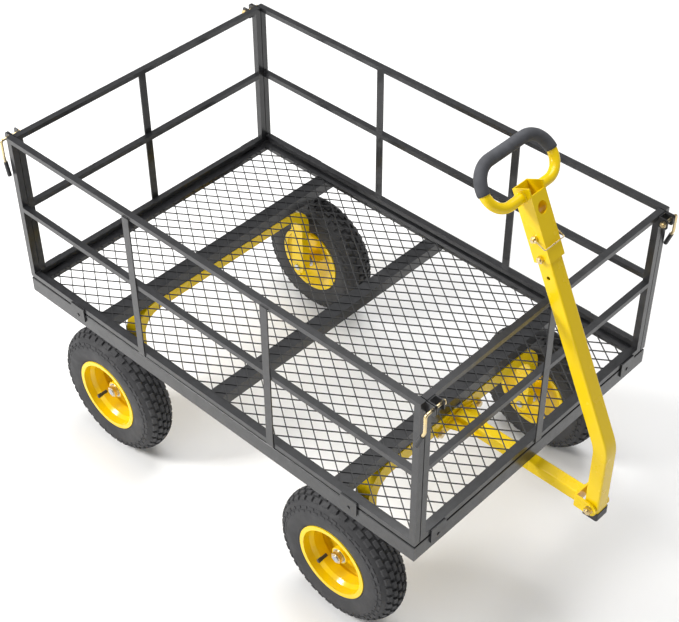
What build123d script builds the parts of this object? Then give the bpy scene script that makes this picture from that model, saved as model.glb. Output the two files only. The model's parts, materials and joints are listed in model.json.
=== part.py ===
"""Steel garden cart: mesh deck, four lift-off side panels, two wheel yokes and a steering handle.

Units are millimetres. The cart is laid out with X forward (handle end), Y to the left and Z up.
Inside this file X = 0 is the middle of the bed, and save() moves every piece back by ORIGIN_X,
so that the written parts have their origin on the ground under the middle of the overall box.
"""
from math import cos, radians, sin
import os

from build123d import *

os.makedirs("parts", exist_ok=True)

ORIGIN_X = 77.0  # middle of the overall length, ahead of the middle of the bed

# ---------------------------------------------------------------- bed
BED_LENGTH = 1185.0
BED_WIDTH = 771.0
BED_TOP = 402.3
FLANGE_HEIGHT = 38.3
ANGLE_LEG = 31.0
ANGLE_WALL = 3.0
ANGLE_EDGE_RADIUS = 2.2
CROSSBAR_WIDTH = 35.0
CROSSBAR_BOTTOM = 368.0
CROSSBAR_WALL = 2.0
MESH_THICKNESS = 2.0
MESH_LONG_PITCH = 47.1
MESH_SHORT_PITCH = 33.0
MESH_STRAND = 2.2
MESH_PHASE_X = -56.7
MESH_PHASE_Y = -23.3
MESH_LAP = 8.0  # how far the mesh runs under the angle's ledge
MESH_EDGE = 3.0  # unpierced strip round the sheet
SMALLEST_WINDOW = 20.0  # square millimetres; smaller cut-off diamonds are left solid

# ---------------------------------------------------------------- side panels
RAIL_DEPTH = 15.0
RAIL_HEIGHT = 11.0
PANEL_BOTTOM = 408.0
PANEL_TOP = 798.4
BOTTOM_RAIL_HEIGHT = 12.5
MID_RAIL_BOTTOM = 602.0
MID_RAIL_HEIGHT = 12.0
POST_WIDTH = 15.0
RAIL_WALL = 1.5
CORNER_GROOVE = 2.0  # gap between a short panel's post and the long panel
STRAP_WIDTH = 19.5
STRAP_THICKNESS = 3.0
STRAP_TOP = 790.5
LONG_STRAP_X = 200.0
TAB_WIDTH = 45.0
TAB_THICKNESS = 4.0
TAB_BOTTOM = 381.0
TAB_TOP = 418.0
LONG_TAB_X = 421.0
SHORT_TAB_Y = 317.0
TAB_RIVET_RADIUS = 4.0
TAB_RIVET_HEIGHT = 1.6

# ---------------------------------------------------------------- corner latches
LATCH_X = 608.0
LATCH_Z = 785.0
LATCH_ROD_RADIUS = 3.3
LATCH_BORE_RADIUS = 3.36
LATCH_BEND_RADIUS = 6.5
LATCH_PLATE = 2.5
LATCH_INNER_Y = 337.0
LATCH_GUIDE_SPAN = 20.0  # between the two plates of a bracket
LATCH_HANDLE_Y = 390.0
LATCH_KNEE_Z = 742.0
LATCH_END_Z = 702.0
LATCH_END_X = 594.0
LATCH_EAR_REACH = 8.0  # of the plates, beyond the rod
LATCH_NUT_FLATS = 12.0
LATCH_NUT_THICKNESS = 6.0
SLEEVE_RADIUS = 4.8
SLEEVE_LENGTH = 34.0

# ---------------------------------------------------------------- wheels
AXLE_X = 365.5
AXLE_Z = 165.0
WHEEL_Y = 344.7
TYRE_RADIUS = 165.0
TYRE_HALF_WIDTH = 42.0
RIM_RADIUS = 92.0
BEAD_RADIUS = 84.2
BEAD_HALF_WIDTH = 32.5
RIM_OUTER_Y = 383.9
RIM_INNER_Y = 306.0
RIM_WALL = 2.5
TREAD_DEPTH = 6.0
GROOVE_Y = 13.0  # from the tyre's mid-plane to the middle of a tread groove
GROOVE_HALF_WIDTH = 1.5
RIB_EDGE = 33.0
AXLE_RADIUS = 8.0
AXLE_BORE_RADIUS = 8.05
VALVE_RADIUS = 54.0  # from the axle
VALVE_TURN = 40.0  # degrees below level
VALVE_STEM_RADIUS = 4.0
BEARING_RADIUS = 17.5
BEARING_WIDTH = 12.0
HUB_RADIUS = 20.5
HUB_INNER_Y = 300.0
HUB_OUTER_Y = 358.0
DISH_EDGE_DEPTH = 3.0  # behind the rim's outer face, at the dish's edge
DISH_CENTRE_DEPTH = 26.5  # and at its flat centre
DISH_STEPS = 14
NUT_FLATS = 24.0
NUT_THICKNESS = 8.0
NUT_WASHER = 2.0

# ---------------------------------------------------------------- yokes
YOKE_DEPTH = 38.0
YOKE_OUTER_Y = 287.0
YOKE_LEG = 25.0
YOKE_OUTER_RADIUS = 70.0
YOKE_WALL = 2.5
YOKE_BEND_STEP = 20.0  # inner bend is this much tighter than the outer one
REAR_YOKE_TOP = 368.0
REAR_BAR_HEIGHT = 26.0
FRONT_YOKE_TOP = 364.6
FRONT_BAR_HEIGHT = 35.0
KINGPIN_RADIUS = 8.0
KINGPIN_BORE_RADIUS = 8.06
KINGPIN_X = 365.5
KINGPIN_SLEEVE_RADIUS = 12.0
RUNNING_GAP = 0.4  # between flat faces that slide past each other

# ---------------------------------------------------------------- drawbar
DRAWBAR_SIZE = 29.0
DRAWBAR_WALL = 2.5
DRAWBAR_Z = 337.0
ROOT_PLATE = 4.0
ROOT_BOLT_Y = 64.0
ROOT_BOLT_Z = 325.0
ROOT_GUSSET_END_X = 470.0
CLEVIS_WEB_X = 712.0
CLEVIS_WALL = 4.0
CLEVIS_WIDTH = 48.0
CLEVIS_END_RADIUS = 16.0
PIVOT_X = 751.0
PIVOT_Z = 337.0
PIVOT_RADIUS = 5.0
PIVOT_BORE_RADIUS = 5.06

# ---------------------------------------------------------------- handle
HANDLE_LEAN = 25.2  # degrees back from vertical
HANDLE_SIZE = 36.0
HANDLE_DEPTH = 34.0
HANDLE_WALL = 2.5
HANDLE_NORMAL = 894.0  # distance of the leaning tube's centreline from the frame's origin
HANDLE_TUBE_END = 640.0
HANDLE_BOTTOM_Z = 313.0
CAP_WALL = 1.5
CAP_TOP_Z = 335.0
CAP_FLOOR = 4.0
STOW_HOLE_S = 525.0
FLIP_BOLT_S = 567.5
LOCK_PIN_S = 610.0
LOCK_PIN_RADIUS = 4.0
LOCK_BORE_RADIUS = 4.06

# ---------------------------------------------------------------- hitch head and loop handle
HEAD_HALF_WIDTH = 21.5
HEAD_WALL = 3.0
HEAD_BOTTOM_S = 559.0
HEAD_WEB_TOP_S = 697.0
HEAD_TOP_S = 712.0
HEAD_FRONT_N = 914.3
HEAD_REAR_N = 874.0
HEAD_REAR_WALL_BOTTOM_S = 646.0
HITCH_HOLE_S = 666.0
HITCH_HOLE_RADIUS = 12.5
LOOP_S = 694.5
LOOP_N = 891.5
LOOP_LEAN = 15.3
LOOP_HEIGHT = 92.0
LOOP_HALF_WIDTH = 98.4
LOOP_TUBE_RADIUS = 10.5
LOOP_TUBE_WALL = 2.0
LOOP_LOWER_BEND = 43.0
LOOP_UPPER_BEND = 49.0
FOAM_RADIUS = 13.0

HALF_LENGTH = BED_LENGTH / 2
HALF_WIDTH = BED_WIDTH / 2
ENDS = (1, -1)
CORNERS = {"front_left": (1, 1), "front_right": (1, -1), "rear_left": (-1, 1), "rear_right": (-1, -1)}


# ---------------------------------------------------------------- helpers
def save(name, *solids):
    """Write one named piece, or a group of separate pieces, in the cart's own frame."""
    pieces = [solid for shape in solids for solid in shape.solids()]
    placed = [piece.moved(Location((-ORIGIN_X, 0, 0))) for piece in pieces]
    shape = placed[0] if len(placed) == 1 else Compound(children=placed)
    shape.label = name
    export_step(shape, f"parts/{name}.step")


def block(x_range, y_range, z_range):
    """Box between two limits on each axis, given in either order."""
    lows = [min(pair) for pair in (x_range, y_range, z_range)]
    sizes = [abs(pair[1] - pair[0]) for pair in (x_range, y_range, z_range)]
    return Pos(*lows) * Box(*sizes, align=(Align.MIN, Align.MIN, Align.MIN))


def rod_y(x, z, radius, y_start, y_end):
    """Round bar along Y."""
    plane = Plane((x, min(y_start, y_end), z), z_dir=(0, 1, 0))
    return extrude(plane * Circle(radius), abs(y_end - y_start))


def rod_z(x, y, radius, z_start, z_end):
    """Round bar along Z."""
    plane = Plane((x, y, min(z_start, z_end)))
    return extrude(plane * Circle(radius), abs(z_end - z_start))


def hex_y(x, z, across_flats, y_start, y_end):
    """Hexagonal prism along Y."""
    plane = Plane((x, min(y_start, y_end), z), z_dir=(0, 1, 0))
    prism = extrude(plane * RegularPolygon(across_flats / 2, 6, major_radius=False), abs(y_end - y_start))
    return prism


def mirror_y(shape):
    return mirror(shape, about=Plane.XZ)


def mirror_x(shape):
    return mirror(shape, about=Plane.YZ)


def handle_point(n, s, y=0.0):
    """Point in the leaning handle's frame: n across it, s along it, y sideways."""
    lean = radians(HANDLE_LEAN)
    return (n * cos(lean) - s * sin(lean), y, n * sin(lean) + s * cos(lean))


def handle_plane(s):
    """Plane square to the leaning handle at height s: local X is n, local Y is the cart's Y."""
    lean = radians(HANDLE_LEAN)
    return Plane(handle_point(0, s), x_dir=(cos(lean), 0, sin(lean)), z_dir=(-sin(lean), 0, cos(lean)))


def handle_block(n_range, y_range, s_range):
    """Box in the leaning handle's frame."""
    centre = (sum(n_range) / 2, sum(y_range) / 2)
    outline = Pos(*centre) * Rectangle(abs(n_range[1] - n_range[0]), abs(y_range[1] - y_range[0]))
    return extrude(handle_plane(min(s_range)) * outline, abs(s_range[1] - s_range[0]))


def handle_rod(n, s, radius, y_start, y_end):
    """Round bar along Y through a point of the leaning handle."""
    x, _, z = handle_point(n, s)
    return rod_y(x, z, radius, y_start, y_end)


# ---------------------------------------------------------------- bed
def angle_bar(length, trim):
    """Steel angle along X with its outer corner at Y = 0, Z = BED_TOP, pointing in at Y < 0.

    trim shortens the ledge at each end, where the other bars' ledges pass.
    """
    half = length / 2
    flange = block((-half, half), (-ANGLE_WALL, 0), (BED_TOP - FLANGE_HEIGHT, BED_TOP))
    ledge = block((trim - half, half - trim), (-ANGLE_LEG, -ANGLE_WALL), (BED_TOP - ANGLE_WALL, BED_TOP))
    outer_edge = (flange + ledge).edges().filter_by(Axis.X).group_by(Axis.Y)[-1].sort_by(Axis.Z)[-1]
    return fillet(outer_edge, ANGLE_EDGE_RADIUS)


def bed_frame():
    """Rectangle of four welded steel angles: an outer flange that hangs down and a ledge that points in."""
    side_bar = Pos(0, HALF_WIDTH, 0) * angle_bar(BED_LENGTH, 0)
    end_bar = angle_bar(BED_WIDTH - 2 * ANGLE_WALL, ANGLE_LEG - ANGLE_WALL)
    end_bar = Pos(HALF_LENGTH, 0, 0) * Rot(0, 0, -90) * end_bar
    return [side_bar, mirror_y(side_bar), end_bar, mirror_x(end_bar)]


def crossbar(x):
    """Flat rectangular tube across the bed, under the mesh."""
    top = BED_TOP - ANGLE_WALL - MESH_THICKNESS
    reach = HALF_WIDTH - ANGLE_WALL
    half = CROSSBAR_WIDTH / 2
    bar = block((x - half, x + half), (-reach, reach), (CROSSBAR_BOTTOM, top))
    hollow = block(
        (x - half + CROSSBAR_WALL, x + half - CROSSBAR_WALL),
        (-reach, reach),
        (CROSSBAR_BOTTOM + CROSSBAR_WALL, top - CROSSBAR_WALL),
    )
    return bar - hollow


def clipped(points, axis, limit):
    """Part of a convex outline that lies within plus or minus limit along one axis."""
    for sign in ENDS:
        kept = []
        for index, point in enumerate(points):
            before = points[index - 1]
            inside = sign * point[axis] <= limit
            was_inside = sign * before[axis] <= limit
            if inside != was_inside:
                share = (sign * limit - before[axis]) / (point[axis] - before[axis])
                kept.append(tuple(b + share * (p - b) for b, p in zip(before, point)))
            if inside:
                kept.append(point)
        points = kept
    return points


def outline_area(points):
    pairs = zip(points, points[1:] + points[:1])
    return abs(sum(a[0] * b[1] - b[0] * a[1] for a, b in pairs)) / 2


def deck_mesh():
    """Expanded-metal sheet: one plate pierced by rows of diamonds, cut off at a solid edge strip."""
    reach_x = HALF_LENGTH - ANGLE_LEG + MESH_LAP
    reach_y = HALF_WIDTH - ANGLE_LEG + MESH_LAP
    sheet = Rectangle(2 * reach_x, 2 * reach_y).face()
    half_long = MESH_LONG_PITCH / 2
    half_short = MESH_SHORT_PITCH / 2
    inset = MESH_STRAND / 2 * (half_long**2 + half_short**2) ** 0.5
    tip_x = half_long - inset / half_short
    tip_y = half_short - inset / half_long
    columns = int(2 * reach_x / half_long) // 2 + 4
    rows = int(2 * reach_y / half_short) // 2 + 4
    windows = []
    for column in range(-columns, columns + 1):
        for row in range(-rows, rows + 1):
            if (column + row) % 2:
                continue
            x = MESH_PHASE_X + half_long * (column + 1)
            y = MESH_PHASE_Y + half_short * row
            diamond = [(x + tip_x, y), (x, y + tip_y), (x - tip_x, y), (x, y - tip_y)]
            window = clipped(clipped(diamond, 0, reach_x - MESH_EDGE), 1, reach_y - MESH_EDGE)
            if len(window) > 2 and outline_area(window) > SMALLEST_WINDOW:
                windows.append(Wire.make_polygon([(*corner, 0) for corner in window], close=True))
    pierced = sheet.make_holes(windows)
    bottom = BED_TOP - ANGLE_WALL - MESH_THICKNESS
    return Pos(0, 0, bottom) * extrude(pierced, MESH_THICKNESS, dir=(0, 0, 1))


# ---------------------------------------------------------------- side panels
def hollow_bar(x_range, y_range, z_range):
    """Rectangular tube with closed ends."""
    limits = [sorted(pair) for pair in (x_range, y_range, z_range)]
    inside = [(low + RAIL_WALL, high - RAIL_WALL) for low, high in limits]
    return block(*limits) - block(*inside)


def panel(half_span, straps, tabs):
    """Bars of a welded panel standing in the XZ plane, outer face at Y = 0 and body behind, at Y > 0."""
    depth = (0, RAIL_DEPTH)
    top = (PANEL_TOP - RAIL_HEIGHT, PANEL_TOP)
    middle = (MID_RAIL_BOTTOM, MID_RAIL_BOTTOM + MID_RAIL_HEIGHT)
    bottom = (PANEL_BOTTOM, PANEL_BOTTOM + BOTTOM_RAIL_HEIGHT)
    post_inside = half_span - POST_WIDTH
    bars = [
        hollow_bar((-half_span, half_span), depth, top),
        hollow_bar((-post_inside, post_inside), depth, middle),
        hollow_bar((-half_span, half_span), depth, bottom),
    ]
    for side in ENDS:
        bars.append(hollow_bar((side * half_span, side * post_inside), depth, (bottom[1], top[0])))
    for x in straps:
        x_range = (x - STRAP_WIDTH / 2, x + STRAP_WIDTH / 2)
        bars.append(block(x_range, (-STRAP_THICKNESS, 0), (PANEL_BOTTOM + 1, STRAP_TOP)))
    for x in tabs:
        tab = block((x - TAB_WIDTH / 2, x + TAB_WIDTH / 2), (-TAB_THICKNESS, 0), (TAB_BOTTOM, TAB_TOP))
        tab = fillet(tab.edges().filter_by(Axis.Y), 2.0)
        rivet_z = (BED_TOP + TAB_BOTTOM) / 2
        outer_y = -TAB_THICKNESS
        bars.append(tab + rod_y(x, rivet_z, TAB_RIVET_RADIUS, outer_y - TAB_RIVET_HEIGHT, outer_y))
    return bars


def latch_plate(y_start, y_end):
    """Upright plate that a latch rod passes through, at the front left corner."""
    height = (LATCH_Z - 12, PANEL_TOP - 2)
    plate = block((HALF_LENGTH, LATCH_X + LATCH_EAR_REACH), (y_start, y_end), height)
    outer_corners = [edge for edge in plate.edges().filter_by(Axis.Y) if edge.center().X > LATCH_X]
    plate = fillet(outer_corners, 5.0)
    return plate - rod_y(LATCH_X, LATCH_Z, LATCH_BORE_RADIUS, y_start, y_end)


def latch_bracket():
    """U-shaped guide on a short panel's end post: two plates and the back web that joins them."""
    post_outer = HALF_WIDTH - RAIL_DEPTH - CORNER_GROOVE
    inner_face = post_outer - LATCH_GUIDE_SPAN
    web_x = (HALF_LENGTH, HALF_LENGTH + LATCH_PLATE)
    return [
        latch_plate(post_outer - LATCH_PLATE, post_outer),
        latch_plate(inner_face - LATCH_PLATE, inner_face),
        block(web_x, (inner_face, post_outer - LATCH_PLATE), (LATCH_Z - 12, PANEL_TOP - 2)),
    ]


def long_panel(side):
    """Side panel at Y = side, running the whole length of the bed, with an ear at each end."""
    straps = (-LONG_STRAP_X, LONG_STRAP_X)
    tabs = (-LONG_TAB_X, LONG_TAB_X)
    bars = [mirror_y(Pos(0, -HALF_WIDTH, 0) * bar) for bar in panel(HALF_LENGTH, straps, tabs)]
    inner_face = HALF_WIDTH - RAIL_DEPTH
    ear = latch_plate(inner_face, inner_face + LATCH_PLATE)
    bars += [ear, mirror_x(ear)]
    return bars if side > 0 else [mirror_y(bar) for bar in bars]


def short_panel(end):
    """End panel at X = end, fitting between the long panels, with a latch guide at each side."""
    half_span = HALF_WIDTH - RAIL_DEPTH - CORNER_GROOVE
    stand = Pos(HALF_LENGTH, 0, 0) * Rot(0, 0, 90)
    bars = [stand * bar for bar in panel(half_span, (0,), (-SHORT_TAB_Y, SHORT_TAB_Y))]
    guide = latch_bracket()
    bars += guide + [mirror_y(plate) for plate in guide]
    return bars if end > 0 else [mirror_x(bar) for bar in bars]


# ---------------------------------------------------------------- latches
def latch_path(side_x, side_y):
    """Centreline of a latch rod: across the corner, down, and kicked in toward the panel."""
    x = side_x * LATCH_X
    points = [
        (x, side_y * LATCH_INNER_Y, LATCH_Z),
        (x, side_y * LATCH_HANDLE_Y, LATCH_Z),
        (x, side_y * LATCH_HANDLE_Y, LATCH_KNEE_Z),
        (side_x * LATCH_END_X, side_y * (LATCH_HANDLE_Y + 3), LATCH_END_Z),
    ]
    return FilletPolyline(*points, radius=LATCH_BEND_RADIUS)


def latch_rod(side_x, side_y):
    path = latch_path(side_x, side_y)
    return sweep(Plane(path @ 0, z_dir=path % 0) * Circle(LATCH_ROD_RADIUS), path=path)


def latch_sleeve(side_x, side_y):
    """Vinyl sleeve over the lower end of a latch rod, closed at the tip."""
    path = latch_path(side_x, side_y)
    tip = path @ 1
    along = path % 1
    start = tip - along * (SLEEVE_LENGTH - 3)
    outer = extrude(Plane(start, z_dir=along) * Circle(SLEEVE_RADIUS), SLEEVE_LENGTH)
    outer = fillet(outer.edges().sort_by(Axis.Z)[0], 2.0)
    inner = extrude(Plane(start, z_dir=along) * Circle(LATCH_ROD_RADIUS), SLEEVE_LENGTH - 3)
    return outer - inner


def latch_nut(side_x, side_y):
    """Nut welded to the inner plate of a bracket, which the threaded end of the rod turns in."""
    x = side_x * LATCH_X
    plate_face = HALF_WIDTH - RAIL_DEPTH - CORNER_GROOVE - LATCH_GUIDE_SPAN - LATCH_PLATE
    y_range = (side_y * (plate_face - LATCH_NUT_THICKNESS), side_y * plate_face)
    return hex_y(x, LATCH_Z, LATCH_NUT_FLATS, *y_range) - rod_y(x, LATCH_Z, LATCH_BORE_RADIUS, *y_range)


# ---------------------------------------------------------------- wheels
def revolve_about_axle(points):
    """Turn a section, given as (radius, distance from the wheel's mid-plane), about the axle."""
    outline = Polyline(*[(radius, offset) for radius, offset in points], close=True)
    section = make_face(outline)
    axle_plane = Plane(origin=(0, 0, 0), x_dir=(1, 0, 0), z_dir=(0, 0, -1))
    return revolve(axle_plane * section, Axis.Y)


def tyre():
    """Pneumatic tyre with an open inner side, lying about the Y axis, its tread in three ribs."""
    crown = TYRE_RADIUS - TREAD_DEPTH
    lip = RIM_RADIUS + 1
    shoulder = (crown - 10, TYRE_HALF_WIDTH - 4)
    side_ribs = [
        shoulder,
        (TYRE_RADIUS - 4, RIB_EDGE),
        (TYRE_RADIUS - 2, GROOVE_Y + GROOVE_HALF_WIDTH),
        (crown, GROOVE_Y + GROOVE_HALF_WIDTH),
        (crown, GROOVE_Y - GROOVE_HALF_WIDTH),
        (TYRE_RADIUS, GROOVE_Y - GROOVE_HALF_WIDTH),
    ]
    tread = side_ribs + [(radius, -offset) for radius, offset in reversed(side_ribs)]
    axle_plane = Plane(origin=(0, 0, 0), x_dir=(1, 0, 0), z_dir=(0, 0, -1))
    with BuildSketch(axle_plane) as section:
        with BuildLine():
            Line((lip, -BEAD_HALF_WIDTH), (BEAD_RADIUS, -BEAD_HALF_WIDTH))
            Line((BEAD_RADIUS, -BEAD_HALF_WIDTH), (BEAD_RADIUS, BEAD_HALF_WIDTH))
            Line((BEAD_RADIUS, BEAD_HALF_WIDTH), (lip, BEAD_HALF_WIDTH))
            ThreePointArc((lip, BEAD_HALF_WIDTH), (lip + 22, TYRE_HALF_WIDTH), shoulder)
            Polyline(*tread)
            ThreePointArc((shoulder[0], -shoulder[1]), (lip + 22, -TYRE_HALF_WIDTH), (lip, -BEAD_HALF_WIDTH))
        make_face()
    carcass = revolve(section.sketch, Axis.Y)
    cavity_half = TYRE_HALF_WIDTH - 12
    return carcass - rod_y(0, 0, crown - 10, -cavity_half, cavity_half)


def dish_depth(radius, edge):
    """How far the wheel's bowl lies behind the rim's outer face: steep at its edge, flat at the hub."""
    return DISH_EDGE_DEPTH + (DISH_CENTRE_DEPTH - DISH_EDGE_DEPTH) * (1 - (radius / edge) ** 3)


def rim():
    """Pressed rim with a bowl on the outer side and a hub tube through it."""
    outer_y = RIM_OUTER_Y - WHEEL_Y
    inner_y = RIM_INNER_Y - WHEEL_Y
    inside = BEAD_RADIUS - RIM_WALL
    well = RIM_RADIUS - 14
    profile = [
        (RIM_RADIUS, outer_y),
        (RIM_RADIUS, outer_y - 4),
        (BEAD_RADIUS, outer_y - 6),
        (BEAD_RADIUS, outer_y - 18),
        (well, outer_y - 26),
        (well, inner_y + 26),
        (BEAD_RADIUS, inner_y + 18),
        (BEAD_RADIUS, inner_y + 6),
        (RIM_RADIUS, inner_y + 4),
        (RIM_RADIUS, inner_y),
        (inside, inner_y),
        (inside, inner_y + 18),
        (well - RIM_WALL, inner_y + 27),
        (well - RIM_WALL, outer_y - 27),
        (inside, outer_y - 18),
        (inside, outer_y),
    ]
    barrel = revolve_about_axle(profile)
    spread = [(inside - HUB_RADIUS + 1) * step / DISH_STEPS for step in range(DISH_STEPS + 1)]
    face = [(inside - along, outer_y - dish_depth(inside - along, inside)) for along in spread]
    dish = face + [(radius, offset - RIM_WALL) for radius, offset in reversed(face)]
    web = revolve_about_axle(dish)
    hub_tube = extrude(
        Plane((0, HUB_INNER_Y - WHEEL_Y, 0), z_dir=(0, 1, 0)) * Circle(HUB_RADIUS),
        HUB_OUTER_Y - HUB_INNER_Y,
    )
    hub_bore = extrude(
        Plane((0, HUB_INNER_Y - WHEEL_Y, 0), z_dir=(0, 1, 0)) * Circle(BEARING_RADIUS),
        HUB_OUTER_Y - HUB_INNER_Y,
    )
    valve_hole = Plane((VALVE_RADIUS, 0, 0), z_dir=(0, 1, 0))
    valve_hole = extrude(valve_hole * Circle(VALVE_STEM_RADIUS), outer_y)
    return barrel + web + hub_tube - hub_bore - valve_hole


def bearings():
    """Two sealed ball bearings, one pressed into each end of the hub tube."""
    rings = []
    for start in (HUB_INNER_Y, HUB_OUTER_Y - BEARING_WIDTH):
        plane = Plane((0, start - WHEEL_Y, 0), z_dir=(0, 1, 0))
        ring = extrude(plane * (Circle(BEARING_RADIUS) - Circle(AXLE_BORE_RADIUS)), BEARING_WIDTH)
        rings.append(ring)
    return rings


def valve():
    """Inflation valve standing out through a hole in the dish."""
    outer_y = RIM_OUTER_Y - WHEEL_Y
    tip_y = outer_y - 4
    base = Plane((VALVE_RADIUS, tip_y - 26, 0), z_dir=(0, 1, 0))
    stem = extrude(base * Circle(VALVE_STEM_RADIUS), 24)
    cap = extrude(base.offset(16) * Circle(VALVE_STEM_RADIUS + 0.8), 10)
    return stem + fillet(cap.edges().sort_by(Axis.Y)[-1], 1.5)


def at_wheel(shape, side_x, side_y):
    """Place a wheel piece, made about the origin with its outer side at +Y, at a corner."""
    shape = Rot(0, VALVE_TURN, 0) * shape
    if side_y < 0:
        shape = Rot(0, 0, 180) * shape
    return Pos(side_x * AXLE_X, side_y * WHEEL_Y, AXLE_Z) * shape


def axle(side_x, side_y):
    """Stub axle welded through a yoke leg, with a shoulder for the hub."""
    x = side_x * AXLE_X
    inner = side_y * (YOKE_OUTER_Y - YOKE_LEG - 4)
    outer = side_y * (HUB_OUTER_Y + RUNNING_GAP + NUT_WASHER + NUT_THICKNESS + 2)
    stub = rod_y(x, AXLE_Z, AXLE_RADIUS, inner, outer)
    shoulder = rod_y(x, AXLE_Z, 13, side_y * YOKE_OUTER_Y, side_y * (HUB_INNER_Y - RUNNING_GAP))
    return stub + shoulder


def axle_nut(side_x, side_y):
    """Flanged hexagon nut that keeps the wheel on its axle."""
    x = side_x * AXLE_X
    start = HUB_OUTER_Y + RUNNING_GAP
    face = start + NUT_WASHER
    washer = rod_y(x, AXLE_Z, 15, side_y * start, side_y * face)
    nut = hex_y(x, AXLE_Z, NUT_FLATS, side_y * face, side_y * (face + NUT_THICKNESS))
    bore = rod_y(x, AXLE_Z, AXLE_RADIUS, side_y * start, side_y * (face + NUT_THICKNESS))
    return washer + nut - bore


# ---------------------------------------------------------------- yokes
def arch_solid(x, top, bar_height, inset):
    """Arched bar with a leg down to each axle, every face moved in by inset."""
    half_depth = YOKE_DEPTH / 2 - inset
    outer_y = YOKE_OUTER_Y - inset
    inner_y = YOKE_OUTER_Y - YOKE_LEG + inset
    crown = top - inset
    under = top - bar_height + inset
    plane = Plane((x - half_depth, 0, 0), x_dir=(0, 1, 0), z_dir=(1, 0, 0))
    outer = Pos(0, (crown + AXLE_Z) / 2) * Rectangle(2 * outer_y, crown - AXLE_Z)
    outer = fillet(outer.vertices().group_by(Axis.Y)[-1], YOKE_OUTER_RADIUS - inset)
    arch = Pos(0, (under + AXLE_Z) / 2) * Rectangle(2 * inner_y, under - AXLE_Z)
    arch = fillet(arch.vertices().group_by(Axis.Y)[-1], YOKE_OUTER_RADIUS - YOKE_BEND_STEP + inset)
    body = extrude(plane * (outer - arch), 2 * half_depth)
    for side in ENDS:
        body += rod_y(x, AXLE_Z, half_depth, side * inner_y, side * outer_y)
    return body


def yoke(end, top, bar_height):
    """Yoke of rectangular tube, arched over the axle line, with a hole for each stub axle."""
    x = end * AXLE_X
    body = arch_solid(x, top, bar_height, 0) - arch_solid(x, top, bar_height, YOKE_WALL)
    for side in ENDS:
        body -= rod_y(x, AXLE_Z, AXLE_RADIUS, side * (YOKE_OUTER_Y - YOKE_LEG), side * YOKE_OUTER_Y)
    return body


def front_yoke():
    """Front yoke with a welded sleeve for the kingpin."""
    bottom = FRONT_YOKE_TOP - FRONT_BAR_HEIGHT
    body = yoke(1, FRONT_YOKE_TOP, FRONT_BAR_HEIGHT)
    body += rod_z(KINGPIN_X, 0, KINGPIN_SLEEVE_RADIUS, bottom, FRONT_YOKE_TOP)
    return body - rod_z(KINGPIN_X, 0, KINGPIN_BORE_RADIUS, bottom, FRONT_YOKE_TOP)


def kingpin():
    """Steering pin, headed inside the front crossbar and threaded at its foot."""
    head_bottom = CROSSBAR_BOTTOM + CROSSBAR_WALL
    head = extrude(Plane((KINGPIN_X, 0, head_bottom)) * RegularPolygon(12, 6, major_radius=False), 9)
    bottom = FRONT_YOKE_TOP - FRONT_BAR_HEIGHT - 16
    return head + rod_z(KINGPIN_X, 0, KINGPIN_RADIUS, bottom, head_bottom + 1)


def kingpin_nut():
    """Lock nut and washer under the front yoke."""
    top = FRONT_YOKE_TOP - FRONT_BAR_HEIGHT - RUNNING_GAP
    washer = rod_z(KINGPIN_X, 0, 16, top - 3, top)
    nut = extrude(Plane((KINGPIN_X, 0, top - 13)) * RegularPolygon(12, 6, major_radius=False), 10)
    return washer + nut - rod_z(KINGPIN_X, 0, KINGPIN_RADIUS, top - 14, top)


def thrust_washer():
    bottom = FRONT_YOKE_TOP + RUNNING_GAP
    ring = rod_z(KINGPIN_X, 0, 22, bottom, CROSSBAR_BOTTOM)
    return ring - rod_z(KINGPIN_X, 0, KINGPIN_RADIUS, bottom, CROSSBAR_BOTTOM)


# ---------------------------------------------------------------- drawbar
def drawbar_tube():
    half = DRAWBAR_SIZE / 2
    front_face = KINGPIN_X + YOKE_DEPTH / 2
    x_range = (front_face + ROOT_PLATE, CLEVIS_WEB_X)
    bar = block(x_range, (-half, half), (DRAWBAR_Z - half, DRAWBAR_Z + half))
    bar = fillet(bar.edges().filter_by(Axis.X), 3.0)
    inner = half - DRAWBAR_WALL
    return bar - block(x_range, (-inner, inner), (DRAWBAR_Z - inner, DRAWBAR_Z + inner))


def drawbar_root():
    """Plate that bolts to the front of the yoke, with two gussets that taper onto the drawbar."""
    front_face = KINGPIN_X + YOKE_DEPTH / 2
    half = DRAWBAR_SIZE / 2
    plane = Plane((front_face, 0, 0), x_dir=(0, 1, 0), z_dir=(1, 0, 0))
    lobes = Pos(0, DRAWBAR_Z) * Rectangle(DRAWBAR_SIZE + 8, DRAWBAR_SIZE)
    outline = make_hull(
        (lobes + [Pos(side * ROOT_BOLT_Y, ROOT_BOLT_Z + 4) * Circle(11) for side in ENDS]).edges()
    )
    plate = extrude(plane * outline, ROOT_PLATE)
    start = front_face + ROOT_PLATE
    for side in ENDS:
        corners = [(start, side * half), (start, side * ROOT_BOLT_Y * 0.72), (ROOT_GUSSET_END_X, side * half)]
        gusset = make_face(Polyline(*corners, close=True))
        plate += Pos(0, 0, DRAWBAR_Z - 2) * extrude(gusset, 4, dir=(0, 0, 1))
    for side in ENDS:
        hole = Plane((front_face, side * ROOT_BOLT_Y, ROOT_BOLT_Z + 4), z_dir=(1, 0, 0))
        plate -= extrude(hole * Circle(4.0), ROOT_PLATE)
    return plate


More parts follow.
